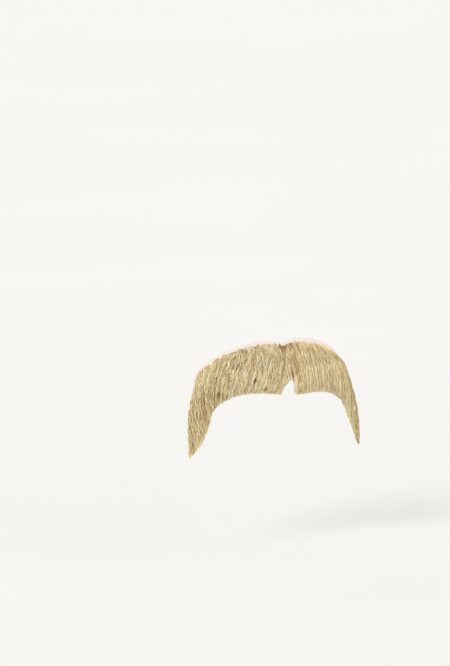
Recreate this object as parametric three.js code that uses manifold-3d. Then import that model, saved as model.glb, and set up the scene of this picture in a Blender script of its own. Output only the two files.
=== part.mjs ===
// Drooping false moustache: hair knotted on a fine net and combed from a centre parting into two wings,
// each of lip hair with a trimmed edge and a long tail.
// Millimetres, +Z up. The wearer looks along -Y, and +X is the wearer's left.
// The origin is on the back of the net, where its flat middle sits on the upper lip.
import * as THREE from "three";
import { mergeVertices } from "three/addons/utils/BufferGeometryUtils.js";
import Module from "manifold-3d";

const wasm = await Module();
wasm.setup();

// Driving sizes of the hair as worn
const HALF_WIDTH = 51.5; // parting to the widest point of a tail's outer line of hair
const RISE = 13.4; // highest roots above the origin
const LIP_DROP = 15.1; // trimmed edge over the lip, below the origin
const TAIL_DROP = 49.4; // tip of a tail below the origin
const HAIR_DEPTH = 4.6; // thickest hair, measured off the net
const ROOT_DEPTH = 0.9; // hair along its line of roots
const TAIL_BACK_DEPTH = 0.8; // how far a tail is rounded behind, where no net backs it
const TAIL_SWING = 9.3; // how far a tail's tip stands forward of the line of the net
const SWING_POWER = 0.9; // 1 swings in a straight line, less bows the tail forward
const PARTING_BOW = 4; // how far the parting bows to the wearer's left of the net's middle

// Driving sizes of the lip that the net is shaped to
const FLAT_HALF = 6; // half of the flat middle
const LIP_RADIUS = 46; // round stretch beside the flat
const ARC_HALF = 29; // half width at which the round stretch ends and the straight wings begin

// Driving sizes of the net
const NET_THICKNESS = 1;
const NET_MARGIN = 2.8; // bare net showing past the roots

// Clearances
const HAIR_CLEARANCE = 0.3; // between the net's face and the hair on it
const PARTING_CLEARANCE = 1; // between the two wings at their roots
const BUNDLE_CLEARANCE = 0.8; // between lip hair and tail hair, measured along the trimmed edge

// How the hair is combed. Each row is one line of flow, parting first and a tail's outer edge last.
// It runs from its root through a middle point to its trimmed end.
// Shares: root_x, mid_x and end_x of HALF_WIDTH; root_z of RISE; mid of the way down from root to end;
// fall of the way from LIP_DROP to TAIL_DROP.
const FLOW = [
  { root_x: 0.0, root_z: 0.84, mid_x: 0.004, mid: 0.55, end_x: 0.077, fall: 0.0 },
  { root_x: 0.112, root_z: 0.985, mid_x: 0.151, mid: 0.5, end_x: 0.194, fall: 0.0 },
  { root_x: 0.238, root_z: 0.99, mid_x: 0.285, mid: 0.5, end_x: 0.328, fall: -0.012 },
  { root_x: 0.359, root_z: 0.9, mid_x: 0.427, mid: 0.5, end_x: 0.473, fall: 0.0 },
  { root_x: 0.477, root_z: 0.76, mid_x: 0.557, mid: 0.49, end_x: 0.599, fall: 0.06 },
  { root_x: 0.584, root_z: 0.6, mid_x: 0.674, mid: 0.49, end_x: 0.71, fall: 0.15 },
  { root_x: 0.674, root_z: 0.41, mid_x: 0.78, mid: 0.5, end_x: 0.782, fall: 0.28 },
  { root_x: 0.752, root_z: 0.19, mid_x: 0.855, mid: 0.5, end_x: 0.84, fall: 0.53 },
  { root_x: 0.822, root_z: -0.05, mid_x: 0.93, mid: 0.5, end_x: 0.916, fall: 0.8 },
  { root_x: 0.874, root_z: -0.27, mid_x: 0.982, mid: 0.5, end_x: 0.992, fall: 1.0 },
];

// How full the hair is, at the same lines of flow. Shares: bulk, the most, and trim, where it is cut off,
// of HAIR_DEPTH; net, how far down the net backs it, of the line's length.
const FULLNESS = [
  { bulk: 0.75, trim: 0.6, net: 0.7 },
  { bulk: 0.92, trim: 0.66, net: 0.7 },
  { bulk: 1.0, trim: 0.68, net: 0.7 },
  { bulk: 1.0, trim: 0.68, net: 0.68 },
  { bulk: 0.98, trim: 0.64, net: 0.64 },
  { bulk: 0.94, trim: 0.58, net: 0.56 },
  { bulk: 0.82, trim: 0.42, net: 0.45 },
  { bulk: 0.64, trim: 0.28, net: 0.32 },
  { bulk: 0.53, trim: 0.2, net: 0.2 },
  { bulk: 0.43, trim: 0.14, net: 0.12 },
];

// The parting isn't straight: its bow as shares of PARTING_BOW, at shares of the way down.
const PARTING = [
  { down: 0, bow: 0.35 },
  { down: 0.5, bow: 1 },
  { down: 1, bow: 0.3 },
];
const PARTING_FADE = 3; // power by which that bow dies out over a wing

// Locks that the two bundles of a wing are made of
const BUNDLE_SPLIT = 0.55; // share of the wing, from the parting, where lip hair ends and tail hair begins
const LIP_LOCKS = 8;
const TAIL_LOCKS = 6;
const LOCK_OVERLAP = 0.32; // share of its half width by which a lock runs under the next
const LOCK_STEP = 0.35; // how far every second lock stands off the others
const CROWN = 3; // power of a lock's rounded face: 2 is an ellipse, more is flatter
const THICKEST = 0.6; // share of a flow line's length where the hair is thickest
const BACK_SPREAD = 0.1; // share of that length past THICKEST by which a tail's back is fully rounded
const THIN_HAIR = 0.5; // share of HAIR_DEPTH below which a tail's back is rounded less

// How finely locks and net are cut
const LIP_SECTIONS = 7;
const TAIL_SECTIONS = 11;
const FACE_SHARES = [1, 0.86, 0.5, 0, -0.5, -0.86, -1]; // across a lock's face, as shares of its half width
const BACK_SHARES = [-0.5, 0.5]; // across its back
const NET_SECTIONS = 18; // on each side of the middle

const HAIR = { color: 0xc9b68f, roughness: 0.6, metalness: 0 };
const NET = { color: 0xd9bda2, roughness: 0.8, metalness: 0 };

// Smooth lines across a wing, through one point for each row of a table.
const through = (table, pointOf) => new THREE.SplineCurve(table.map(pointOf));
const rootHeight = (row) => row.root_z * RISE;
const endHeight = (row) => -(LIP_DROP + row.fall * (TAIL_DROP - LIP_DROP));
const middleHeight = (row) => THREE.MathUtils.lerp(rootHeight(row), endHeight(row), row.mid);
const roots = through(FLOW, (row) => new THREE.Vector2(row.root_x * HALF_WIDTH, rootHeight(row)));
const middles = through(FLOW, (row) => new THREE.Vector2(row.mid_x * HALF_WIDTH, middleHeight(row)));
const ends = through(FLOW, (row) => new THREE.Vector2(row.end_x * HALF_WIDTH, endHeight(row)));
const bulks = through(FULLNESS, (row) => new THREE.Vector2(row.bulk, row.trim));
const netShares = through(FULLNESS, (row) => new THREE.Vector2(row.net, 0));
const partingLine = through(PARTING, (row) => new THREE.Vector2(row.bow * PARTING_BOW, row.down));

// Front view of a point of a wing: across from the parting, 0, to the outer edge, 1;
// along from the root, 0, to the trimmed end, 1.
function flowPoint(across, along) {
  const stops = [roots, middles, ends].map((curve) => curve.getPoint(across));
  return new THREE.SplineCurve(stops).getPoint(along);
}

// Turn of the lip's surface at a distance x from the middle, in radians.
function lipTurn(x) {
  const round = THREE.MathUtils.clamp(x, FLAT_HALF, ARC_HALF) - FLAT_HALF;
  return Math.asin(round / LIP_RADIUS);
}

// How far the net's back lies behind the origin at a distance x from the middle.
function lipDepth(x) {
  const turn = lipTurn(x);
  return LIP_RADIUS * (1 - Math.cos(turn)) + Math.max(0, x - ARC_HALF) * Math.tan(turn);
}

// Hair below the origin leaves the line of the net and swings forward.
const swingAt = (z) => TAIL_SWING * (Math.max(0, -z) / TAIL_DROP) ** SWING_POWER;

// A point at a height over the lip, lifted off the back of the net.
function onLip(x, z, lift) {
  const turn = Math.sign(x) * lipTurn(Math.abs(x));
  return [x + lift * Math.sin(turn), lipDepth(Math.abs(x)) - lift * Math.cos(turn), z];
}

// A lifted point of a wing's hair. Side is 1 for the wearer's left and -1 for the right.
function place(side, across, along, lift) {
  const { x: spread, y: z } = flowPoint(across, along);
  const bow = partingLine.getPoint(along).x * Math.max(0, 1 - spread / HALF_WIDTH) ** PARTING_FADE;
  const [x, y] = onLip(side * (spread + PARTING_CLEARANCE / 2) + bow, z, lift);
  return [x, y - swingAt(z), z];
}

// Depth of the hair: thin at the roots, thickest past the middle, and trimmed as the table says.
function hairDepth(across, along) {
  const { x: bulk, y: trim } = bulks.getPoint(across);
  if (along < THICKEST) {
    const rise = Math.sin((along / THICKEST) * (Math.PI / 2));
    return THREE.MathUtils.lerp(ROOT_DEPTH, bulk * HAIR_DEPTH, rise);
  }
  const thinning = THREE.MathUtils.smoothstep(along, THICKEST, 1);
  return THREE.MathUtils.lerp(bulk, trim, thinning) * HAIR_DEPTH;
}

// A closed mesh through rings of the same number of points, capped at both ends.
function loftRings(rings, side) {
  const size = rings[0].length;
  const faces = [];
  for (let i = 0; i + 1 < rings.length; i++)
    for (let j = 0; j < size; j++) {
      const a = i * size + j;
      const b = i * size + ((j + 1) % size);
      faces.push([a, b, b + size], [a, b + size, a + size]);
    }
  const last = (rings.length - 1) * size;
  for (let j = 1; j + 1 < size; j++) faces.push([0, j + 1, j], [last, last + j, last + j + 1]);
  const geometry = new THREE.BufferGeometry();
  geometry.setAttribute("position", new THREE.Float32BufferAttribute(rings.flat(2), 3));
  geometry.setIndex(faces.flatMap((face) => (side < 0 ? face.toReversed() : face)));
  return geometry;
}

// One lock: a strip with a rounded face that follows the flow between two shares of the wing.
function lock({ side, from, to, sections, step, backDepth }) {
  const middle = (from + to) / 2;
  const reach = (to - from) / 2;
  const netEnd = netShares.getPoint(middle).x;
  const base = NET_THICKNESS + HAIR_CLEARANCE + step;
  const rings = [];
  for (let i = 0; i <= sections; i++) {
    const along = i / sections;
    const depth = hairDepth(middle, along);
    const fullness = Math.min(1, depth / (THIN_HAIR * HAIR_DEPTH));
    const clear = THREE.MathUtils.smoothstep(along, netEnd, THICKEST + BACK_SPREAD);
    const face = FACE_SHARES.map((share) => {
      const crown = Math.sqrt(1 - Math.abs(share) ** CROWN);
      return place(side, middle + share * reach, along, base + depth * crown);
    });
    const back = BACK_SHARES.map((share) =>
      place(side, middle + share * reach, along, base - backDepth * fullness * clear),
    );
    rings.push([...face, ...back]);
  }
  return loftRings(rings, side);
}

function solidOf(geometry) {
  geometry.deleteAttribute("normal");
  geometry.deleteAttribute("uv");
  const merged = mergeVertices(geometry);
  return new wasm.Manifold(
    new wasm.Mesh({
      numProp: 3,
      vertProperties: merged.attributes.position.array,
      triVerts: new Uint32Array(merged.index.array),
    }),
  );
}

function meshOf(name, solid, finish) {
  const { vertProperties, triVerts } = solid.getMesh();
  const geometry = new THREE.BufferGeometry();
  geometry.setAttribute("position", new THREE.BufferAttribute(vertProperties, 3));
  geometry.setIndex(new THREE.BufferAttribute(triVerts, 1));
  geometry.computeVertexNormals();
  const mesh = new THREE.Mesh(geometry, new THREE.MeshStandardMaterial(finish));
  mesh.name = name;
  return mesh;
}

// A bundle of locks side by side between two shares of the wing, fused into one solid.
function bundle(name, { from, to, locks, ...shape }) {
  const reach = (to - from) / (2 * locks);
  const half = reach * (1 + LOCK_OVERLAP);
  const solids = Array.from({ length: locks }, (_, i) => {
    const middle = from + (2 * i + 1) * reach;
    const span = { from: Math.max(from, middle - half), to: Math.min(to, middle + half) };
    return solidOf(lock({ ...shape, ...span, step: i % 2 ? LOCK_STEP : 0 }));
  });
  return meshOf(name, wasm.Manifold.union(solids), HAIR);
}

// The two bundles of a wing, kept apart by BUNDLE_CLEARANCE turned into a share of the trimmed edge.
function wing(sideName, side) {
  const halfGap = BUNDLE_CLEARANCE / 2 / ends.getLength();
  const lip = { side, from: 0, to: BUNDLE_SPLIT - halfGap, locks: LIP_LOCKS };
  const tail = { side, from: BUNDLE_SPLIT + halfGap, to: 1, locks: TAIL_LOCKS };
  const group = new THREE.Group();
  group.add(
    bundle(`${sideName}_lip_hair`, { ...lip, sections: LIP_SECTIONS, backDepth: 0 }),
    bundle(`${sideName}_tail_hair`, { ...tail, sections: TAIL_SECTIONS, backDepth: TAIL_BACK_DEPTH }),
  );
  return group;
}

// Lower and upper edge of the net in front view, on the wearer's left.
function netEdges(across) {
  const tangent = roots.getTangent(across);
  const margin = new THREE.Vector2(-tangent.y, tangent.x).multiplyScalar(NET_MARGIN * (1 - across ** 3));
  const lower = flowPoint(across, netShares.getPoint(across).x);
  const upper = roots.getPoint(across).add(margin);
  return { lower, upper };
}

// The net: a band that lies on the lip, from its outer end on one side to that on the other.
function net() {
  const stations = Array.from({ length: NET_SECTIONS + 1 }, (_, i) => i / NET_SECTIONS);
  const ring = (side, across) => {
    const { lower, upper } = netEdges(across);
    const corner = (edge, lift) => onLip(side * (edge.x + PARTING_CLEARANCE / 2), edge.y, lift);
    return [corner(lower, 0), corner(upper, 0), corner(upper, NET_THICKNESS), corner(lower, NET_THICKNESS)];
  };
  const right = stations.toReversed().map((across) => ring(-1, across));
  const left = stations.map((across) => ring(1, across));
  return meshOf("net_foundation", solidOf(loftRings([...right, ...left], 1)), NET);
}

const moustache = new THREE.Group();
moustache.add(net(), wing("left", 1), wing("right", -1));

export default moustache;
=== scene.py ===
"""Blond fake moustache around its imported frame: a hexagonal lace net, and combed hair knotted into it."""
import math

import bpy
import numpy as np
from mathutils import Matrix


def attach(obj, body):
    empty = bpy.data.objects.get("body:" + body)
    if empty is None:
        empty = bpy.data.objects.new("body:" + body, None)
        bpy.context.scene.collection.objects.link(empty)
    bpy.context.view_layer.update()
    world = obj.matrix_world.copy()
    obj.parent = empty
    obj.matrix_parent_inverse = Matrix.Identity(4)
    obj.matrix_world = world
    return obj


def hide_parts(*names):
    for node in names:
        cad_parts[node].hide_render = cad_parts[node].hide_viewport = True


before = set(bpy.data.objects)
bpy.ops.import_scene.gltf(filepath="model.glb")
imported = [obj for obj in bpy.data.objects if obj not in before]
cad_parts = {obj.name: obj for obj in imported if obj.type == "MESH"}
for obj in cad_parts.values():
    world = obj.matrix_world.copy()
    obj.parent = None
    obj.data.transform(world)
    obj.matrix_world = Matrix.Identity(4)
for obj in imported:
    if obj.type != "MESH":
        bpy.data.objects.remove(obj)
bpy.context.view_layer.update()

MM = 0.001  # the tables below are in millimetres, as in the part's source
RNG = np.random.default_rng(1864)

# Sizes and tables of the part's source, which the hair and the lace repeat
HALF_WIDTH = 51.5
RISE = 13.4
LIP_DROP = 15.1
TAIL_DROP = 49.4
HAIR_DEPTH = 4.6
ROOT_DEPTH = 0.9
TAIL_BACK_DEPTH = 0.8
TAIL_SWING = 9.3
SWING_POWER = 0.9
PARTING_BOW = 4
PARTING_FADE = 3
PARTING_CLEARANCE = 1
FLAT_HALF = 6
LIP_RADIUS = 46
ARC_HALF = 29
NET_THICKNESS = 1
HAIR_CLEARANCE = 0.3
BUNDLE_SPLIT = 0.55
BUNDLE_BLEND = 0.05
THICKEST = 0.6
BACK_SPREAD = 0.1

# root_x, root_z, mid_x, mid, end_x, fall: one row for each station from the parting to the outer edge
FLOW = np.array([
    (0.000, 0.840, 0.004, 0.55, 0.077, 0.000),
    (0.112, 0.985, 0.151, 0.50, 0.194, 0.000),
    (0.238, 0.990, 0.285, 0.50, 0.328, -0.012),
    (0.359, 0.900, 0.427, 0.50, 0.473, 0.000),
    (0.477, 0.760, 0.557, 0.49, 0.599, 0.060),
    (0.584, 0.600, 0.674, 0.49, 0.710, 0.150),
    (0.674, 0.410, 0.780, 0.50, 0.782, 0.280),
    (0.752, 0.190, 0.855, 0.50, 0.840, 0.530),
    (0.822, -0.050, 0.930, 0.50, 0.916, 0.800),
    (0.874, -0.270, 0.982, 0.50, 0.992, 1.000),
])
# bulk and trim, shares of HAIR_DEPTH, and net, a share of the line's length, at the same stations
FULLNESS = np.array([
    (0.75, 0.60, 0.70),
    (0.92, 0.66, 0.70),
    (1.00, 0.68, 0.70),
    (1.00, 0.68, 0.68),
    (0.98, 0.64, 0.64),
    (0.94, 0.58, 0.56),
    (0.82, 0.42, 0.45),
    (0.64, 0.28, 0.32),
    (0.53, 0.20, 0.20),
    (0.43, 0.14, 0.12),
])
PARTING = np.array([(0.35, 0.0), (1.0, 0.0), (0.3, 0.0)])  # its bow, as shares of PARTING_BOW


def lerp(a, b, share):
    return a + (b - a) * share


def smooth(x, low, high):
    t = np.clip((x - low) / np.maximum(high - low, 1e-6), 0, 1)
    return t * t * (3 - 2 * t)


def cubic(p0, p1, p2, p3, w):
    """A point between p1 and p2 of the smooth line through four points."""
    v0 = (p2 - p0) / 2
    v1 = (p3 - p1) / 2
    return (2 * p1 - 2 * p2 + v0 + v1) * w**3 + (-3 * p1 + 3 * p2 - 2 * v0 - v1) * w**2 + v0 * w + p1


def spline(points, share):
    """Points of the smooth line through the rows of points, at shares of its way."""
    last = len(points) - 1
    p = np.clip(share, 0, 1) * last
    i = np.minimum(np.floor(p).astype(int), last - 1)
    stops = [points[np.clip(i + k, 0, last)] for k in (-1, 0, 1, 2)]
    return cubic(*stops, (p - i)[..., None])


root_z = FLOW[:, 1] * RISE
end_z = -(LIP_DROP + FLOW[:, 5] * (TAIL_DROP - LIP_DROP))
ROOTS = np.stack([FLOW[:, 0] * HALF_WIDTH, root_z], 1)
MIDDLES = np.stack([FLOW[:, 2] * HALF_WIDTH, lerp(root_z, end_z, FLOW[:, 3])], 1)
ENDS = np.stack([FLOW[:, 4] * HALF_WIDTH, end_z], 1)

# The real hair isn't trimmed alike on both wings: shifts of its ends at the stations, outwards and up,
# in millimetres; 1 is the wearer's left, -1 the wearer's right, 0 the source's average
TRIM = {
    1: np.array([
        (0.0, 0.0), (0.0, 0.0), (0.0, -0.3), (0.0, -0.7), (0.1, -0.9),
        (0.4, -0.6), (1.1, 0.0), (2.0, 0.0), (2.2, -0.2), (1.5, -0.6),
    ]),
    -1: np.array([
        (0.0, 0.6), (0.0, 1.3), (0.0, 1.5), (0.0, 1.4), (-0.1, 1.0),
        (-0.3, 0.3), (-0.8, 0.0), (-1.3, 0.0), (-0.9, 0.0), (0.5, 0.3),
    ]),
    0: np.zeros((len(FLOW), 2)),
}
NOTCH_ARCH = {1: 0.0, -1: 1.5, 0: 0.0}  # how far the notch's edge is rounded outwards, in millimetres


def flow(across, along, side=0):
    """Front view (spread, z) of a wing's points; across and along have one shape.

    Past the ends of a line of flow it runs straight on.
    """
    root, middle, end = (spline(line, across) for line in (ROOTS, MIDDLES, ENDS + TRIM[side]))
    p = np.clip(along, 0, 1)[..., None] * 2
    upper = cubic(root, root, middle, end, np.minimum(p, 1))
    lower = cubic(root, middle, end, end, np.maximum(p - 1, 0))
    over = np.maximum(along - 1, 0)[..., None] * (end - middle)
    under = np.minimum(along, 0)[..., None] * (middle - root)
    front = np.where(p < 1, upper, lower) + over + under
    arch = smooth(along, 0.6, 0.8) * (1 - 0.7 * smooth(along, 0.84, 1)) * (1 - smooth(across, 0, 0.09))
    front[..., 0] += NOTCH_ARCH[side] * arch
    return front


def lip_turn(x):
    """How far the lip has turned back at x, 0 or more, in radians."""
    return np.arcsin((np.clip(x, FLAT_HALF, ARC_HALF) - FLAT_HALF) / LIP_RADIUS)


def lip_depth(x):
    """How far the lip lies behind its middle at x, 0 or more."""
    turn = lip_turn(x)
    return LIP_RADIUS * (1 - np.cos(turn)) + np.maximum(0, x - ARC_HALF) * np.tan(turn)


def set_on_lip(x, z, lift, swing=1.0):
    """Points lifted off the back of the net, in millimetres."""
    turn = np.sign(x) * lip_turn(np.abs(x))
    forward = swing * TAIL_SWING * (np.maximum(0, -z) / TAIL_DROP) ** SWING_POWER
    return np.stack([x + lift * np.sin(turn), lip_depth(np.abs(x)) - lift * np.cos(turn) - forward, z], -1)


def wing_x(side, spread, along):
    """X of a wing's points, beside the parting that bows to the wearer's left."""
    bow = spline(PARTING, along)[..., 0] * PARTING_BOW
    fade = np.clip(1 - spread / HALF_WIDTH, 0, 1) ** PARTING_FADE
    return side * (spread + PARTING_CLEARANCE / 2) + bow * fade


def hair_depth(across, along):
    """Thickness of the hair in front of its base."""
    fullness = spline(FULLNESS, across)
    swelling = np.sin(np.clip(along / THICKEST, 0, 1) * math.pi / 2)
    rising = lerp(ROOT_DEPTH, fullness[..., 0] * HAIR_DEPTH, swelling)
    thinning = lerp(fullness[..., 0], fullness[..., 1], smooth(along, THICKEST, 1)) * HAIR_DEPTH
    return np.where(along < THICKEST, rising, thinning)


def net_share(across):
    """Share of a flow line that lies on the net."""
    return spline(FULLNESS, across)[..., 2]


def layer_lift(across, along, level):
    """Lift of the hair at a level of its thickness: 0 lies on the net or at the back, 1 at the face."""
    depth = hair_depth(across, along)
    tail = smooth(across, BUNDLE_SPLIT - BUNDLE_BLEND, BUNDLE_SPLIT + BUNDLE_BLEND)
    clear = smooth(along, net_share(across), THICKEST + BACK_SPREAD)
    thick = np.clip(2 * depth / HAIR_DEPTH, 0, 1)
    base = NET_THICKNESS + HAIR_CLEARANCE
    return lerp(base - TAIL_BACK_DEPTH * tail * clear * thick, base + depth, level)


def new_mesh(name, points, quads, uv, hair=None):
    """A mesh object from points in millimetres, four corners a face and a map named OFBake."""
    mesh = bpy.data.meshes.new(name)
    mesh.vertices.add(len(points))
    mesh.vertices.foreach_set("co", (points * MM).astype(np.float32).ravel())
    mesh.loops.add(quads.size)
    mesh.loops.foreach_set("vertex_index", quads.astype(np.int32).ravel())
    mesh.polygons.add(len(quads))
    mesh.polygons.foreach_set("loop_start", np.arange(0, quads.size, 4, dtype=np.int32))
    mesh.update(calc_edges=True)
    mesh.polygons.foreach_set("use_smooth", np.ones(len(quads), bool))
    layer = mesh.uv_layers.new(name="OFBake")
    layer.uv.foreach_set("vector", uv.astype(np.float32).ravel())
    if hair is not None:
        colour = mesh.attributes.new("hair", "FLOAT_COLOR", "POINT")
        colour.data.foreach_set("color", hair.astype(np.float32).ravel())
    piece = bpy.data.objects.new(name, mesh)
    bpy.context.scene.collection.objects.link(piece)
    return piece


def tubes(name, paths, radii, hair=None, sides=3):
    """One mesh of thin tubes, from paths (tubes, rings, 3) and radii (tubes, rings).

    Each tube has its own cell of the map.
    """
    count, rings, _ = paths.shape
    along = np.gradient(paths, axis=1)
    along /= np.linalg.norm(along, axis=2, keepdims=True)
    first = np.cross(along, (0.1, -1.0, 0.05))
    first /= np.linalg.norm(first, axis=2, keepdims=True)
    second = np.cross(along, first)
    angle = np.arange(sides) * math.tau / sides + RNG.uniform(0, math.tau, (count, 1))
    cosine, sine = np.cos(angle)[:, None, :, None], np.sin(angle)[:, None, :, None]
    circle = cosine * first[:, :, None] + sine * second[:, :, None]
    points = paths[:, :, None] + radii[:, :, None, None] * circle

    tube, ring, side = np.meshgrid(np.arange(count), np.arange(rings - 1), np.arange(sides), indexing="ij")
    after = (side + 1) % sides
    here = (tube * rings + ring) * sides
    ahead = here + sides
    quads = np.stack([here + side, here + after, ahead + after, ahead + side], -1).reshape(-1, 4)

    cells = math.ceil(math.sqrt(count))
    corner = np.stack([tube % cells, tube // cells], -1)[..., None, :]
    u = np.stack([side, side + 1, side + 1, side], -1) / sides
    v = np.stack([ring, ring, ring + 1, ring + 1], -1) / (rings - 1)
    uv = (corner + 0.1 + 0.8 * np.stack([u, v], -1)) / cells
    if hair is not None:
        hair = np.repeat(hair[:, :, None], sides, 2).reshape(-1, 4)
    return new_mesh(name, points.reshape(-1, 3), quads, uv.reshape(-1, 2), hair)


# Hair: clumps of strands that follow the flow of a wing
STRAND_RADIUS = 0.1
STRAND_SIZES = (0.7, 1.2)  # range of strands' shares of that radius
STRAND_THINNING = ((0, 0.06, 0.8, 1), (0.7, 1, 0.9, 0.45))  # shares of its way, and of its radius there
ROOT_LIFT = 0.35  # where hair leaves the lace
RISE_LENGTH = 3.0  # length over which hair lifts off the lace to its level
CLUMP_SPREAD = 0.0055  # how far a clump's strands lie to its sides, as a share of the wing
CLUMP_DRIFT = 0.01  # how far a clump wanders off its line of flow, as a share of the wing
CLUMP_DEPTH = 0.22
CLUMP_LEVEL = (-0.12, 0.17)  # mean and spread of the clumps' lift over their level
STRAND_SCATTER = 0.25  # how unevenly a clump's own strands start and end
LINE_LENGTH = 27  # of a flow line over the lip, roughly
TAIL_LONGER = 16  # how much longer it is at the outer edge
RAGGED_ROOTS = 1.0  # how unevenly the top row is knotted
RAGGED_ROWS = 0.5  # the same of the rows below it
ROWS_CROWD = 1.6  # 1 spreads the rows evenly, more crowds them at the top
ROOTS_ABOVE = 0.5  # how far the top row's middle lies above the source's line of roots
ROOT_LIMITS = (-0.065, 0.72)  # highest and lowest roots, as shares of a flow line
CUT_SHARE = 0.6  # share of the draw by which a strand is cut short
CUT_BEYOND = 0.01  # how far the longest strands reach past the trimmed edge, as a share of a flow line
GOLDEN_SHARE = 0.6180339887  # spreads clumps evenly over a wing
BUNDLE_INSET = (0.004, 0.006)  # bare shares of a wing inside a bundle's inner and outer edge
BUNDLES = {
    "lip": {"from": 0.0, "to": BUNDLE_SPLIT + 0.015, "ragged": 1.3},
    "tail": {"from": BUNDLE_SPLIT - 0.015, "to": 1.0, "ragged": 1.6},
}
# clumps, strands in each and rings along each; roots lie between two shares of the net
LAYERS = {
    "lip": {
        "combed": (320, 5, 20, 0.0, 0.5),
        "inner": (180, 6, 11, 0.3, 1.0),
        "parting": (24, 5, 18, 0.0, 0.35),
    },
    "tail": {
        "combed": (190, 6, 22, 0.0, 0.6),
        "inner": (90, 6, 13, 0.4, 1.0),
    },
}
PARTING_REACH = 0.04  # share of a wing that the hair beside the parting takes
PARTING_CLOSED = 0.9  # how far hair crosses the parting above the notch
CROSSING = (0.3, 1)  # range of clumps' shares of that

# Waves are shared by a clump, curls are a strand's own; ranges are drawn from
WAVE_LENGTH = (5.5, 9.5)
WAVE_SWING = (0.2, 0.65)
WAVE_LIFT = 0.3
PHASE_SWING = 5  # how far the waves of neighbouring clumps shift, over the wing
PHASE_TURNS = 23
PHASE_SCATTER = 3.6
CURL_LENGTH = (4.0, 6.5)
CURL_SWING = 0.1
CURL_LIFT = 0.08
STRAY_SHARE = 0.03
STRAY_LIFT = (0.2, 0.9)
STRAND_FLARE = 0.12  # how far a strand strays from its clump at the tail's tip

# What differs between the wings: 1 is the wearer's left, -1 the wearer's right
BARE_ROOTS = {1: 1.1, -1: 2.6}  # how far the top row of roots lies below the source's line, at most
LEAN = {1: 0.0, -1: 0.035}  # how much further out than the flow hair is combed, as a share of a wing
WAVINESS = {1: 0.55, -1: 1.0}  # how strongly hair waves: the left wing is combed smoother
OUTER_WAVINESS = 0.5  # the same further out, for lift and tone, on both wings
EDGE_WAVES = {1: 0.4, -1: 0.8}  # share of the waves that is left at a bundle's edges
FLARE = {1: 0.25, -1: 0.45}  # how far a clump strays sideways at the tail's tip

# Slits between locks of the wearer's right wing: across, along and half the slit's width
SLIT_REACH = 0.075  # half the length of a slit, as a share of a flow line
SLITS = [
    (0.543, 0.77, 0.015),
    (0.726, 0.62, 0.012),
    (0.261, 0.69, 0.008),
    (0.172, 0.64, 0.006),
    (0.176, 0.86, 0.007),
]

# Colour: tone runs from 0 for brown to 1 for the palest blond, warmth from 0 for ash to 1 for gold
CLUMP_TONE = 0.14
STRAND_TONE = 0.11
CLUMP_WARMTH = 0.15
STRAND_WARMTH = 0.08
ROOTS_PAINTED_SHADOW = (0.2, 0.04)  # painted shadow of the nose, strongest at the parting, fading to slightly darker roots further out
TIP_LIGHT = 0.12
# painted shade: strands of the inner layers, beneath the others, are darker and browner
INNER_PAINTED_SHADE = 0.06
INNER_PAINTED_SHADE_WARMTH = 0.2
# The wearer's right wing
# painted shade beside the slits, dark and brown
SLIT_PAINTED_SHADE = 0.2
SLIT_PAINTED_SHADE_WARMTH = 0.4
MIDDLE_TONE = 0.48
MIDDLE_EVENED = 0.4  # how far the outer half is drawn to that tone
MIDDLE_SHADE = (0.07, 0.17)  # near its roots and near its ends
TUFT_LIGHT = 0.04
TUFT_TONE = 0.22
RIGHT_WARMTH = 0.12
# The wearer's left wing
LEFT_LIGHT = 0.02
# painted shade: the wing's outer edge, turned from the light, is darker, most towards the ends
LEFT_OUTER_PAINTED_SHADE = 0.3
LEFT_WARMTH = 0.08
GOLDEN_BAND = (0.038, 0.075)  # some clumps beside the notch are golden
GOLDEN_WARMTH = 0.6
GOLDEN_SHADE = 0.1
# painted shade at the notch's edge, and painted shadow beside the parting above the notch
NOTCH_EDGE_PAINTED_SHADE = 0.08
PARTING_PAINTED_SHADOW = 0.15


def bare_roots(side, across):
    """How far the top row of roots lies below the source's line, in millimetres."""
    if side < 0:
        return BARE_ROOTS[side] * smooth(across, 0.6, 0.92)
    return BARE_ROOTS[side] * smooth(across, 0.1, 0.3) * (1 - smooth(across, 0.7, 0.9))


def near_slit(across, along, slit):
    """How near points are to a slit, 1 in its middle."""
    at, height, width = slit
    return np.exp(-((along - height) / SLIT_REACH) ** 2 - ((across - at) / (2 * width)) ** 2)


def beside_flow(front):
    """Unit vectors square to lines of flow, in the front view."""
    heading = np.gradient(front, axis=1)
    heading /= np.linalg.norm(heading, axis=2, keepdims=True)
    return np.stack([-heading[..., 1], heading[..., 0]], -1)


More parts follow.
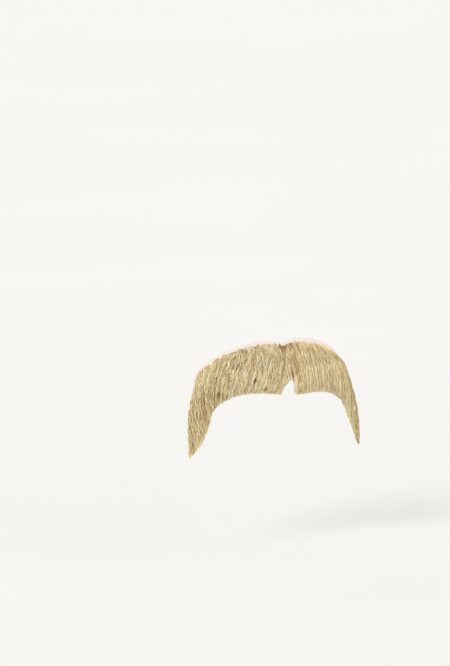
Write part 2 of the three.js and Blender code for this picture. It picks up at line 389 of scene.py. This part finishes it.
class Layer:
    """One layer of a bundle's strands: its arrays have a row for each strand and a column for each ring."""

    def __init__(self, side, spec, counts, reach_to):
        self.side = side
        self.clumps, self.each, self.rings, first_row, last_row = counts
        self.count = self.clumps * self.each
        self.top_row = first_row == 0.0
        self.low = spec["from"] + BUNDLE_INSET[0]
        self.high = spec["to"] - BUNDLE_INSET[1]
        shares = (np.arange(self.clumps) * GOLDEN_SHARE + RNG.uniform()) % 1
        self.clump_across = lerp(self.low, reach_to or self.high, shares)
        self.lay_along(first_row, last_row, spec["ragged"])
        self.lay_across()
        self.waviness = lerp(WAVINESS[side], OUTER_WAVINESS, smooth(self.across, 0.4, 0.7))

    def shared(self, values):
        """A value of each clump, for each of its strands."""
        return np.repeat(values, self.each)[:, None]

    def own(self, spread):
        """A value of each strand, drawn about 0."""
        return RNG.normal(0, spread, self.count)[:, None]

    def lay_along(self, first_row, last_row, ragged):
        """Where strands start on their lines of flow and where they are cut."""
        length = LINE_LENGTH + TAIL_LONGER * smooth(self.clump_across, 0.5, 1)
        row = RNG.uniform(0, 1, self.clumps) ** ROWS_CROWD
        root = lerp(first_row, last_row, row) * net_share(self.clump_across)
        mean, spread = (-ROOTS_ABOVE, RAGGED_ROOTS) if self.top_row else (0, RAGGED_ROWS)
        uneven = RNG.normal(mean, spread, self.clumps) / LINE_LENGTH
        root = root + bare_roots(self.side, self.clump_across) / length * (1 - root)
        start = self.shared(root + uneven) + self.own(STRAND_SCATTER) / LINE_LENGTH
        self.start = np.clip(start, *ROOT_LIMITS)
        cut = self.shared(RNG.normal(0, ragged, self.clumps)) + self.own(STRAND_SCATTER)
        cut *= 1 + self.shared(smooth(self.clump_across, 0.8, 0.95)) * (self.side < 0)
        length = self.shared(length)
        end = 1 - np.abs(cut) * CUT_SHARE / length + CUT_BEYOND
        self.along = lerp(self.start, end, np.linspace(0, 1, self.rings)[None, :])
        self.travelled = (self.along - self.start) * length
        self.from_top = self.along * length

    def lay_across(self):
        """How far out in the wing strands lie, and how calm they are beside slits, 0 in a slit's middle."""
        self.gather = lerp(1, 0.5, smooth(self.travelled, 1, 8))
        drift = self.shared(RNG.normal(0, CLUMP_DRIFT, self.clumps)) * smooth(self.travelled, 2, 24)
        across = self.shared(self.clump_across) + self.own(CLUMP_SPREAD) * self.gather + drift
        across += LEAN[self.side] * (self.along - 0.5) * smooth(across, 0, 0.1)
        across = np.clip(across, self.low, self.high)
        self.calm = np.ones(across.shape)
        for slit in SLITS if self.side < 0 else ():
            near = near_slit(across, self.along, slit)
            across += np.where(across > slit[0], 1, -1) * slit[2] * near
            self.calm *= 1 - near
        self.across = across

    def front_view(self):
        """Front view of the strands: flow, waves and curls, with the parting crossed and the tips flared."""
        across, along = self.across, self.along
        phase = PHASE_SWING * np.sin(self.clump_across * PHASE_TURNS + self.side)
        self.phase = self.shared(phase + RNG.uniform(0, PHASE_SCATTER, self.clumps))
        self.wave_length = self.shared(RNG.uniform(*WAVE_LENGTH, self.clumps))
        swing = self.shared(RNG.uniform(*WAVE_SWING, self.clumps)) * WAVINESS[self.side]
        self.curl = RNG.uniform(0, math.tau, (self.count, 2))
        self.curl_length = RNG.uniform(*CURL_LENGTH, self.count)[:, None]
        sideways = swing * np.sin(self.from_top * math.tau / self.wave_length + self.phase)
        sideways += CURL_SWING * np.sin(self.from_top * math.tau / self.curl_length + self.curl[:, :1])
        outer_edge = smooth(across, self.high - 0.02, self.high)
        inner = smooth(across, self.low, self.low + 0.02) * (1 - outer_edge * 0.6)
        sideways = sideways * self.calm * smooth(self.travelled, 0, 3.5)
        sideways = sideways * lerp(EDGE_WAVES[self.side], 1, inner)
        front = flow(across, along, self.side)
        front = front + beside_flow(front) * sideways[..., None]
        crossing = self.shared(RNG.uniform(*CROSSING, self.clumps)) * PARTING_CLOSED
        front[..., 0] -= crossing * (1 - smooth(across, 0, 0.06)) * (1 - smooth(along, 0.3, 0.55))
        flare = self.shared(RNG.normal(0, FLARE[self.side], self.clumps)) + self.own(STRAND_FLARE)
        front[..., 0] += flare * smooth(along, 0.8, 1) * smooth(across, 0.8, 1)
        return front

    def lift(self):
        """How far the strands lie off the back of the net."""
        net = self.shared(net_share(self.clump_across))
        reach = np.maximum(np.clip(self.along, self.start, net), 0.02)
        level = np.clip(1 - np.maximum(self.start, 0) / reach, 0, 1)
        lift = layer_lift(self.across, self.along, level)
        lift += self.shared(RNG.normal(*CLUMP_LEVEL, self.clumps)) + self.own(CLUMP_DEPTH) * self.gather
        wave = np.sin(self.from_top * math.tau / self.wave_length + 2 * self.phase)
        lift += self.waviness * WAVE_LIFT * wave
        lift += CURL_LIFT * np.sin(self.from_top * math.tau / self.curl_length + self.curl[:, 1:])
        strays = RNG.uniform(0, 1, self.count) < STRAY_SHARE
        lift += (strays * RNG.uniform(*STRAY_LIFT, self.count))[:, None] * smooth(self.travelled, 2, 14)
        return lerp(ROOT_LIFT, np.maximum(lift, ROOT_LIFT), smooth(self.travelled, 0, RISE_LENGTH))

    def radii(self):
        taper = np.interp(np.linspace(0, 1, self.rings), *STRAND_THINNING)
        return STRAND_RADIUS * RNG.uniform(*STRAND_SIZES, self.count)[:, None] * taper

    def hair(self):
        """The values that the material reads: tone, warmth and the share of the way along."""
        across, along = self.across, self.along
        clump_tone = self.shared(RNG.normal(0, CLUMP_TONE, self.clumps))
        tone = 0.5 + self.waviness * clump_tone + self.own(STRAND_TONE)
        # painted shadow of the nose over the roots, darkest at the parting
        tone -= lerp(*ROOTS_PAINTED_SHADOW, smooth(across, 0.04, 0.2)) * (1 - smooth(along, 0.02, 0.16))
        tone += TIP_LIGHT * smooth(along, 0.88, 0.98)
        warmth = np.zeros(along.shape)
        warmth += 0.5 + self.shared(RNG.normal(0, CLUMP_WARMTH, self.clumps)) + self.own(STRAND_WARMTH)
        # painted shade: strands of the inner layers darker and browner
        if not self.top_row:
            tone -= INNER_PAINTED_SHADE
            warmth += INNER_PAINTED_SHADE_WARMTH * smooth(along, 0.1, 0.3)
        if self.side < 0:
            tone, warmth = self.right_wing_tint(tone, warmth)
        else:
            tone, warmth = self.left_wing_tint(tone, warmth)
        return np.clip(np.stack([tone, warmth, along, np.ones(along.shape)], -1), 0, 1)

    def right_wing_tint(self, tone, warmth):
        """Painted shade, dark and brown, beside slits; evener and darker further out, with uneven tufts at
        the tip.
        """
        across, along = self.across, self.along
        # painted shade beside the slits
        slit_shade_mask = (1 - self.calm) ** 3
        tone = tone - SLIT_PAINTED_SHADE * slit_shade_mask
        warmth = warmth + SLIT_PAINTED_SHADE_WARMTH * slit_shade_mask + RIGHT_WARMTH * smooth(across, 0.4, 0.75)
        middle = smooth(across, 0.35, 0.6) * (1 - 0.6 * smooth(across, 0.75, 0.9))
        tone = lerp(tone, MIDDLE_TONE, MIDDLE_EVENED * middle)
        tone = tone - lerp(*MIDDLE_SHADE, smooth(along, 0.2, 0.5)) * middle
        tufts = TUFT_LIGHT + self.shared(RNG.normal(0, TUFT_TONE, self.clumps))
        return tone + tufts * smooth(across, 0.75, 0.95) * smooth(along, 0.75, 0.95), warmth

    def left_wing_tint(self, tone, warmth):
        """A little lighter and warmer, with painted shade at the outer edge, at the notch's edge and beside
        the parting, and golden clumps beside the notch.
        """
        across, along = self.across, self.along
        tone = tone + (LEFT_LIGHT + LEFT_LIGHT * smooth(across, 0.4, 0.75))
        # painted shade at the outer edge
        tone = tone - LEFT_OUTER_PAINTED_SHADE * smooth(across, 0.75, 0.95) * lerp(0.3, 1, smooth(along, 0.15, 0.6))
        in_band = (self.clump_across > GOLDEN_BAND[0]) & (self.clump_across < GOLDEN_BAND[1])
        golden = in_band & (RNG.uniform(0, 1, self.clumps) < 0.5)
        golden = self.shared(golden.astype(float)) * smooth(along, 0.4, 0.6)
        tone = tone - GOLDEN_SHADE * golden
        # painted shade at the notch's edge and painted shadow in the parting above the notch
        tone = tone - NOTCH_EDGE_PAINTED_SHADE * (1 - smooth(across, 0.008, 0.02)) * smooth(along, 0.4, 0.6)
        painted_parting_shadow = PARTING_PAINTED_SHADOW * (1 - smooth(across, 0.05, 0.08)) * smooth(along, 0.2, 0.35)
        tone = tone - painted_parting_shadow * (1 - smooth(along, 0.5, 0.6))
        return tone, warmth + LEFT_WARMTH + GOLDEN_WARMTH * golden


def strands(side, spec, counts, reach_to=None):
    """Paths, radii and colours of one layer of a bundle's strands."""
    layer = Layer(side, spec, counts, reach_to)
    front = layer.front_view()
    paths = set_on_lip(wing_x(side, front[..., 0], layer.along), front[..., 1], layer.lift())
    radii = layer.radii()
    return paths, radii, layer.hair()


# Knots
KNOT_LENGTH = 0.62
KNOT_RADIUS = 0.24
KNOT_SLANT = 0.25
KNOT_TONE = (0.42, 0.1)  # mean and spread
KNOT_WARMTH = 0.45


def knots(name, roots):
    """Small knots that tie the clumps to the lace, at their roots."""
    length = np.array((-1.0, 0.0, 1.0)) * KNOT_LENGTH / 2
    paths = roots[:, None] + length[None, :, None] * np.array((1.0, 0.0, KNOT_SLANT))
    radii = np.tile(np.array((0.3, 1.0, 0.3)) * KNOT_RADIUS, (len(roots), 1))
    hair = np.ones((len(roots), 3, 4))
    hair[..., 0] = RNG.normal(*KNOT_TONE, len(roots))[:, None]
    hair[..., 1] = KNOT_WARMTH
    hair[..., 2] = 0
    return tubes(name, paths, radii, np.clip(hair, 0, 1), sides=4)


# Underlayer: the dense hair beneath the strands, coloured darker and browner than they are: painted shade in
# the gaps between them
SHELL_COLUMNS = 90
SHELL_ROWS = 28
SHELL_INSET = 0.016  # how far the shell stays inside a bundle's edges, as a share of the wing
SHELL_START = 0.06
SHELL_END = (0.93, 0.02)  # mean and spread
SHELL_WAVE = 0.25
SHELL_WAVE_TURNS = (17, 9)  # along and across
SHELL_LEVELS = (0.05, 0.5)  # of its back and its face in the hair's thickness
SHELL_THINNEST = 0.15
FURROW_BLUR = (0.1, 0.25, 0.3, 0.25, 0.1)
FURROW_GAIN = 1.6
FURROW_DEPTH = {"face": 0.16, "back": 0.09}
# painted light on the ridges and painted shade in the furrows, on the face and the back
FURROW_PAINTED_SHADE = {"face": 0.12, "back": 0.08}
# painted shade: the shell's tone is darker than the strands', its face most
SHELL_TONE_WITH_PAINTED_SHADE = {"face": 0.3, "back": 0.38}
SHELL_WARMTH = {"face": (0.5, 0.95), "back": 0.65}  # the face's at the roots and below them, warmer below so that its painted shade reads brown
GROOVE_DEPTH = 0.6
# painted shade in the slits' grooves, dark and brown
GROOVE_PAINTED_SHADE = 0.6
GROOVE_PAINTED_SHADE_WARMTH = 0.4


def shell_quads():
    """Faces of a closed loop of columns: the face, the back in reverse order, and a cap at either end."""
    columns, rows = SHELL_COLUMNS, SHELL_ROWS
    loop = 2 * columns
    i, j = np.meshgrid(np.arange(loop), np.arange(rows - 1), indexing="ij")
    here, after = i * rows + j, (i + 1) % loop * rows + j
    quads = np.stack([here, here + 1, after + 1, after], -1).reshape(-1, 4)
    k = np.arange(columns - 1)
    mirror = loop - 1 - k
    for row in (0, rows - 1):
        corners = (k, k + 1, mirror - 1, mirror)
        cap = np.stack([corner * rows + row for corner in corners], -1)
        quads = np.concatenate([quads, cap if row == 0 else cap[:, ::-1]])
    return quads


def shell_hair(across, along, furrow, groove):
    """The values that the material reads: tone, warmth, and the shares along and across for its streaks."""
    face = np.ones((*along.shape, 4))
    # tone: painted shade, darker in the furrows and in the slits' grooves
    face[..., 0] = np.clip(SHELL_TONE_WITH_PAINTED_SHADE["face"] + FURROW_PAINTED_SHADE["face"] * furrow - GROOVE_PAINTED_SHADE * groove, 0, 1)
    warmth = lerp(*SHELL_WARMTH["face"], smooth(along, 0.12, 0.35))
    face[..., 1] = np.minimum(warmth + GROOVE_PAINTED_SHADE_WARMTH * groove, 1)
    face[..., 2] = along
    face[..., 3] = across
    back = face[::-1].copy()
    back[..., 0] = np.clip(SHELL_TONE_WITH_PAINTED_SHADE["back"] + FURROW_PAINTED_SHADE["back"] * furrow[::-1], 0, 1)
    back[..., 1] = SHELL_WARMTH["back"]
    return np.concatenate([face, back])


def shell(name, side, spec):
    """A closed shell with furrows along the flow."""
    columns = np.linspace(max(spec["from"], SHELL_INSET), spec["to"] - SHELL_INSET, SHELL_COLUMNS)
    furrow = np.pad(RNG.normal(0, 1, SHELL_COLUMNS), 2, mode="edge")
    furrow = (np.convolve(furrow, FURROW_BLUR, "valid") * FURROW_GAIN)[:, None]
    ends = SHELL_END[0] + SHELL_END[1] * RNG.uniform(-1, 1, SHELL_COLUMNS)
    across = np.repeat(columns[:, None], SHELL_ROWS, 1)
    along = lerp(SHELL_START, ends[:, None], np.linspace(0, 1, SHELL_ROWS)[None, :])

    front = flow(across, along, side)
    wave = SHELL_WAVE * np.sin(along * SHELL_WAVE_TURNS[0] + SHELL_WAVE_TURNS[1] * across)
    front = front + beside_flow(front) * wave[..., None]
    front[..., 0] -= PARTING_CLOSED * (1 - smooth(across, 0, 0.06)) * (1 - smooth(along, 0.3, 0.5))
    x, z = wing_x(side, front[..., 0], along), front[..., 1]

    level = SHELL_LEVELS[1] * smooth(along, 0.02, 0.12) * (1 - 0.6 * smooth(along, 0.75, 1.0))
    deepening = smooth(along, 0.03, 0.15)
    face = layer_lift(across, along, level) + FURROW_DEPTH["face"] * furrow * deepening
    back = layer_lift(across, along, SHELL_LEVELS[0]) + FURROW_DEPTH["back"] * furrow * deepening
    groove = np.zeros(across.shape)
    for slit in SLITS if side < 0 else ():
        groove += near_slit(across, along, slit)
    face = np.maximum(face - GROOVE_DEPTH * groove, back + SHELL_THINNEST)
    points = np.concatenate([set_on_lip(x, z, face), set_on_lip(x, z, back)[::-1]]).reshape(-1, 3)

    quads = shell_quads()
    if side < 0:
        quads = quads[:, ::-1]
    cell = np.stack([(quads // SHELL_ROWS) / (2 * SHELL_COLUMNS), (quads % SHELL_ROWS) / SHELL_ROWS], -1)
    uv = cell * 0.96 + 0.02
    hair = shell_hair(across, along, furrow, groove)
    return new_mesh(name, points, quads, uv.reshape(-1, 2), hair.reshape(-1, 4))


# Lace: hexagons of fine thread over the band of the source's net, with a thicker thread along its edge
LACE_PITCH = 1.15
THREAD_RADIUS = 0.08
EDGE_RADIUS = 0.1
LACE_MARGIN = 1.9  # above the roots, less than the source's solid net has
LACE_LIFT = 0.3
OUTLINE_STEPS = 48
LACE_COLUMNS = (-60, 61)
LACE_ROWS = (-14, 18)
THREAD_SHORTEST = 0.05
TRIM_ROUNDS = 7  # each halves what is uncertain about where a thread meets the outline


def net_outline():
    """Front outline of the net: out along its lower edge and back along its upper edge, then mirrored."""
    across = np.linspace(0, 1, OUTLINE_STEPS + 1)
    lower = flow(across, net_share(across))
    tangent = np.gradient(ROOTS[:, 0]), np.gradient(ROOTS[:, 1])
    slope = np.stack([np.interp(across, np.linspace(0, 1, len(FLOW)), t) for t in tangent], 1)
    slope /= np.linalg.norm(slope, axis=1, keepdims=True)
    margin = LACE_MARGIN * (1 - across**3)
    upper = spline(ROOTS, across) + np.stack([-slope[:, 1], slope[:, 0]], 1) * margin[:, None]
    half = np.concatenate([lower, upper[::-1]]) + (PARTING_CLEARANCE / 2, 0)
    return np.concatenate([half, half[::-1] * (-1, 1)])


def developed(x):
    """Distance along the bent band from its middle to x."""
    turn = lip_turn(np.abs(x))
    slant = np.maximum(0, np.abs(x) - ARC_HALF) / np.cos(turn)
    return np.sign(x) * (np.minimum(np.abs(x), FLAT_HALF) + LIP_RADIUS * turn + slant)


def inside(outline, points):
    """Whether points lie in the closed outline, counting the edges each one looks across."""
    a = outline
    b = np.roll(outline, -1, axis=0)
    x, z = points[:, :1], points[:, 1:]
    spans = (a[:, 1] > z) != (b[:, 1] > z)
    rise = np.where(b[:, 1] == a[:, 1], 1, b[:, 1] - a[:, 1])
    crossing = a[:, 0] + (z - a[:, 1]) / rise * (b[:, 0] - a[:, 0])
    return (spans & (x < crossing)).sum(1) % 2 == 1


def pulled(points, wobble):
    """Threads aren't quite even: the flat mesh is pulled a little out of shape."""
    x, z = points[:, 0], points[:, 1]
    shift = 0.16 * np.sin(z * 0.45 + wobble[0] * 40) + 0.1 * np.sin(x * 0.7 + z * 0.3)
    drop = 0.14 * np.sin(x * 0.36 + wobble[1] * 40)
    return np.stack([x + shift, z + drop], 1)


def honeycomb():
    """Both ends of the threads of a flat hexagonal mesh, three threads for each hexagon."""
    side = LACE_PITCH / math.sqrt(3)
    i, j = (g.ravel() for g in np.meshgrid(np.arange(*LACE_COLUMNS), np.arange(*LACE_ROWS), indexing="ij"))
    x = i * (1.5 * side)
    z = (j + 0.5 * (i % 2)) * LACE_PITCH
    turns = (*np.radians((0, 60, 120)), math.pi)
    corners = [np.stack([x + side * math.cos(t), z + side * math.sin(t)], 1) for t in turns]
    wobble = RNG.normal(0, 0.06, 6)  # two of the six draws shape the mesh
    return pulled(np.concatenate(corners[:3]), wobble), pulled(np.concatenate(corners[1:]), wobble)


def rolled_on(points):
    """Front view of points of the flat mesh, once it is bent round the lip."""
    xs = np.linspace(-HALF_WIDTH, HALF_WIDTH, 2000)
    return np.stack([np.interp(points[:, 0], developed(xs), xs), points[:, 1]], 1)


def trimmed(starts, stops, outline):
    """The parts of threads that lie in the outline, as pairs of ends."""
    start_in, stop_in = inside(outline, starts), inside(outline, stops)
    kept = start_in | stop_in
    starts, stops, start_in, stop_in = starts[kept], stops[kept], start_in[kept], stop_in[kept]
    low, high = np.zeros(len(starts)), np.ones(len(starts))
    for _ in range(TRIM_ROUNDS):
        middle = (low + high) / 2
        at = inside(outline, lerp(starts, stops, middle[:, None]))
        low = np.where(at == start_in, middle, low)
        high = np.where(at == start_in, high, middle)
    cut = lerp(starts, stops, low[:, None])
    starts = np.where(start_in[:, None], starts, cut)
    stops = np.where(stop_in[:, None], stops, cut)
    lengthy = np.linalg.norm(stops - starts, axis=1) > THREAD_SHORTEST
    return np.stack([starts[lengthy], stops[lengthy]], 1)


def lace():
    """The lace and its edge thread, with the size and the area of the flat band they are cut from."""
    outline = net_outline()
    starts, stops = honeycomb()
    ends = trimmed(rolled_on(starts), rolled_on(stops), outline)
    paths = set_on_lip(ends[..., 0], ends[..., 1], LACE_LIFT, swing=0.0)
    threads = tubes("lace_net", paths, np.full(paths.shape[:2], THREAD_RADIUS))

    closed = np.concatenate([outline, outline[:1]])
    moved = np.linalg.norm(np.diff(closed, axis=0), axis=1) > 1e-6
    closed = closed[np.concatenate([[True], moved])]
    x, z = closed[:, 0], closed[:, 1]
    path = set_on_lip(x, z, LACE_LIFT, swing=0.0)[None]
    edge = tubes("lace_edge", path, np.full(path.shape[:2], EDGE_RADIUS), sides=5)
    s = developed(x)
    area = abs(np.sum(s[:-1] * z[1:] - s[1:] * z[:-1])) / 2
    return threads, edge, (s.max() * 2, np.ptp(z)), area


# Materials


def linear(r, g, b):
    """An sRGB colour, 0 to 255, as the shader's linear values."""
    def channel(c):
        c /= 255
        return c / 12.92 if c <= 0.04045 else ((c + 0.055) / 1.055) ** 2.4
    return channel(r), channel(g), channel(b), 1.0


class Nodes:
    """A material's node tree with its Principled shader, and short calls to add and join nodes."""

    def __init__(self, name):
        self.material = bpy.data.materials.new(name)
        self.material.use_nodes = True
        self.tree = self.material.node_tree
        self.shader = self.tree.nodes["Principled BSDF"]

    def add(self, kind, **settings):
        node = self.tree.nodes.new(kind)
        for key, value in settings.items():
            if hasattr(node, key):
                setattr(node, key, value)
            else:
                node.inputs[key.replace("_", " ")].default_value = value
        return node

    def join(self, out, into):
        self.tree.links.new(out, into)

    def ramp(self, factor, stops):
        node = self.add("ShaderNodeValToRGB")
        elements = node.color_ramp.elements
        while len(elements) < len(stops):
            elements.new(0.5)
        for element, (position, colour) in zip(elements, stops):
            element.position = position
            element.color = colour
        self.join(factor, node.inputs["Fac"])
        return node.outputs["Color"]

    def math(self, operation, a, b, clamp=False):
        node = self.add("ShaderNodeMath", operation=operation, use_clamp=clamp)
        for socket, value in zip(node.inputs, (a, b)):
            if isinstance(value, (int, float)):
                socket.default_value = value
            else:
                self.join(value, socket)
        return node.outputs[0]

    def mix(self, kind, factor, a, b):
        node = self.add("ShaderNodeMix", data_type="RGBA", blend_type=kind)
        for index, value in ((0, factor), (6, a), (7, b)):
            if isinstance(value, (int, float, tuple)):
                node.inputs[index].default_value = value
            else:
                self.join(value, node.inputs[index])
        return node.outputs[2]

    def noise(self, scale, detail=2.0, roughness=0.5, stretch=None):
        node = self.add("ShaderNodeTexNoise", Scale=scale, Detail=detail, Roughness=roughness)
        place = self.add("ShaderNodeTexCoord").outputs["Object"]
        if stretch:
            mapping = self.add("ShaderNodeMapping")
            mapping.inputs["Scale"].default_value = stretch
            self.join(place, mapping.inputs["Vector"])
            place = mapping.outputs["Vector"]
        self.join(place, node.inputs["Vector"])
        return node.outputs["Fac"]

    def roughen(self, value, least, added):
        """Roughness that rises with a value."""
        rough = self.math("ADD", self.math("MULTIPLY", value, added), least)
        self.join(rough, self.shader.inputs["Roughness"])

    def bump(self, height, strength, distance):
        node = self.add("ShaderNodeBump", Strength=strength, Distance=distance)
        self.join(height, node.inputs["Height"])
        self.join(node.outputs["Normal"], self.shader.inputs["Normal"])


HAIR_COLOURS = [
    (0.0, linear(132, 88, 40)),
    (0.15, linear(166, 130, 80)),
    (0.35, linear(201, 187, 151)),
    (0.62, linear(226, 217, 185)),
    (1.0, linear(240, 236, 216)),
]
GOLD = linear(250, 233, 188)
LACE_COLOURS = [(0.25, linear(196, 156, 130)), (0.75, linear(232, 202, 178))]
STREAKS_ACROSS = 340  # over the whole wing
STREAKS_ALONG = 5
FLECK_STRETCH = (1.0, 1.0, 0.18)  # flecks of the strands are drawn out downwards
CLOUD_TONE = 0.22
HAIR_ROUGHNESS = (0.27, 0.25)  # the least, and how much flecks add
LACE_ROUGHNESS = (0.6, 0.2)
FLECK_DEPTH = {True: 0.0002, False: 0.00003}  # in metres, by whether streaks are in flow
END_TONE = 0.12  # how much paler the ends are than the roots


def about(n, value, amount):
    """A value from 0 to 1 as a change of at most half the amount, up or down."""
    return n.math("MULTIPLY", n.math("SUBTRACT", value, 0.5), amount)


def hair_material(name, darker, streaks, in_flow):
    """Hair that takes tone and warmth from its pieces; streaks in flow follow the shares along and across."""
    n = Nodes(name)
    colour = n.add("ShaderNodeAttribute", attribute_name="hair")
    parts = n.add("ShaderNodeSeparateColor")
    n.join(colour.outputs["Color"], parts.inputs["Color"])
    tone, warmth, along = parts.outputs
    cloud = n.noise(160, 3.0)
    if in_flow:
        place = n.add("ShaderNodeCombineXYZ")
        n.join(n.math("MULTIPLY", colour.outputs["Alpha"], STREAKS_ACROSS), place.inputs["X"])
        n.join(n.math("MULTIPLY", along, STREAKS_ALONG), place.inputs["Y"])
        streak = n.add("ShaderNodeTexNoise", Scale=1.0, Detail=3.0, Roughness=0.65)
        n.join(place.outputs["Vector"], streak.inputs["Vector"])
        fleck = streak.outputs["Fac"]
    else:
        fleck = n.noise(1300, 2.0, stretch=FLECK_STRETCH)
    for value, amount in ((cloud, CLOUD_TONE), (fleck, streaks), (along, END_TONE)):
        tone = n.math("ADD", tone, about(n, value, amount))
    tone = n.math("SUBTRACT", tone, darker, clamp=True)
    base = n.ramp(tone, HAIR_COLOURS)
    gold = n.mix("MULTIPLY", n.math("MULTIPLY", warmth, warmth), base, GOLD)
    n.join(gold, n.shader.inputs["Base Color"])
    n.roughen(fleck, *HAIR_ROUGHNESS)
    n.shader.inputs["Specular IOR Level"].default_value = 0.55
    n.bump(fleck, 0.3, FLECK_DEPTH[in_flow])
    return n.material


def lace_material():
    n = Nodes("flesh_lace")
    twist = n.noise(3000, 2.0)
    shade = n.math("ADD", n.math("MULTIPLY", twist, 0.6), n.math("MULTIPLY", n.noise(60), 0.4))
    base = n.ramp(shade, LACE_COLOURS)
    n.join(base, n.shader.inputs["Base Color"])
    n.roughen(twist, *LACE_ROUGHNESS)
    n.shader.inputs["Specular IOR Level"].default_value = 0.3
    n.bump(twist, 0.4, 0.00004)
    return n.material


# The pieces
strand_finish = hair_material("blond_hair", 0.0, 0.7, in_flow=False)
# the underlayer's material is a little darker: painted shade beneath the strands
shell_finish = hair_material("blond_hair_underneath", 0.04, 1.3, in_flow=True)
lace_finish = lace_material()

threads, edge, lace_size, lace_area = lace()
for piece in (threads, edge):
    piece.data.materials.append(lace_finish)
    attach(piece, "root")
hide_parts("net_foundation")

for side_name, side in (("left", 1), ("right", -1)):
    roots = []
    for bundle, spec in BUNDLES.items():
        under = shell(f"{side_name}_{bundle}_underlayer", side, spec)
        under.data.materials.append(shell_finish)
        made = [under]
        for layer, counts in LAYERS[bundle].items():
            reach_to = PARTING_REACH if layer == "parting" else None
            paths, radii, hair = strands(side, spec, counts, reach_to)
            piece = tubes(f"{side_name}_{bundle}_{layer}", paths, radii, hair)
            piece.data.materials.append(strand_finish)
            made.append(piece)
            roots.append(paths[:, 0].reshape(counts[0], counts[1], 3).mean(1))
        for piece in made:
            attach(piece, "root")
        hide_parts(f"{side_name}_{bundle}_hair")
    ties = knots(f"{side_name}_knots", np.concatenate(roots))
    ties.data.materials.append(strand_finish)
    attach(ties, "root")

# Floor, light and camera
FLOOR_Z = -0.115  # in metres, as are the next two
FLOOR_REACH = 6.0
VIEW_DISTANCE = 3.5
VIEW_AZIMUTH, VIEW_ELEVATION = -27, 9
IMAGE_WIDTH, IMAGE_HEIGHT = 450, 666
PIXELS_PER_MM = 1.8
ORIGIN_U, ORIGIN_V = 281.9, 366.6  # where the seat on the lip lies in the picture
SENSOR_WIDTH = 36
WORLD_COLOUR = (1.0, 0.98, 0.955, 1)
WORLD_STRENGTH = 0.98
# azimuth, elevation, softness in degrees, strength, colour
SUNS = {
    "key": (-50, 29, 16, 2.4, (1.0, 1.0, 1.0)),
    "fill": (42, 22, 60, 1.2, (1.0, 0.95, 0.88)),
    "rear": (200, 35, 60, 0.8, (1.0, 1.0, 1.0)),
}


def facing(azimuth, elevation):
    """Right, up and back vectors of a viewer at these angles; azimuth 0 looks along +Y."""
    a, e = math.radians(azimuth), math.radians(elevation)
    right = np.array((math.cos(a), math.sin(a), 0))
    up = np.array((-math.sin(a) * math.sin(e), math.cos(a) * math.sin(e), math.cos(e)))
    back = np.array((math.sin(a) * math.cos(e), -math.cos(a) * math.cos(e), math.sin(e)))
    return right, up, back


def aim(thing, target, azimuth, elevation, distance):
    """Sets a thing at a distance from the target, looking at it from these angles."""
    right, up, back = facing(azimuth, elevation)
    matrix = np.eye(4)
    matrix[:3, :3] = np.stack([right, up, back], 1)
    matrix[:3, 3] = target + back * distance
    thing.matrix_world = Matrix(matrix.tolist())


def add_to_scene(name, data):
    thing = bpy.data.objects.new(name, data)
    bpy.context.scene.collection.objects.link(thing)
    return thing


def paper_material():
    n = Nodes("pale_paper")
    shades = n.ramp(n.noise(3.0), [(0.3, linear(195, 195, 194)), (0.7, linear(197, 197, 196))])
    n.join(shades, n.shader.inputs["Base Color"])
    n.shader.inputs["Roughness"].default_value = 0.9
    return n.material


def pale_floor():
    mesh = bpy.data.meshes.new("floor")
    corners = [(-1, -1), (1, -1), (1, 1), (-1, 1)]
    mesh.from_pydata([(x * FLOOR_REACH, y * FLOOR_REACH, FLOOR_Z) for x, y in corners], [], [(0, 1, 2, 3)])
    mesh.materials.append(paper_material())
    return add_to_scene("floor", mesh)


def light_scene():
    world = bpy.data.worlds.new("pale")
    world.use_nodes = True
    background = world.node_tree.nodes["Background"]
    background.inputs["Color"].default_value = WORLD_COLOUR
    background.inputs["Strength"].default_value = WORLD_STRENGTH
    bpy.context.scene.world = world
    for name, (azimuth, elevation, softness, strength, colour) in SUNS.items():
        light = bpy.data.lights.new(name, "SUN")
        light.color = colour
        light.angle = math.radians(softness)
        light.energy = strength
        aim(add_to_scene(name, light), np.zeros(3), azimuth, elevation, 1.0)


def photo_camera():
    """A distant camera that sees the seat on the lip where the picture shows it."""
    data = bpy.data.cameras.new("camera")
    data.sensor_width = SENSOR_WIDTH
    data.lens = SENSOR_WIDTH * VIEW_DISTANCE / MM * PIXELS_PER_MM / IMAGE_HEIGHT
    data.clip_start = 0.05
    data.clip_end = 50
    camera = add_to_scene("camera", data)
    right, up, _ = facing(VIEW_AZIMUTH, VIEW_ELEVATION)
    centre = right * (IMAGE_WIDTH / 2 - ORIGIN_U) + up * (ORIGIN_V - IMAGE_HEIGHT / 2)
    aim(camera, centre / PIXELS_PER_MM * MM, VIEW_AZIMUTH, VIEW_ELEVATION, VIEW_DISTANCE)
    return camera


pale_floor()
light_scene()
bpy.context.scene.camera = photo_camera()
bpy.context.scene.view_settings.view_transform = "Standard"
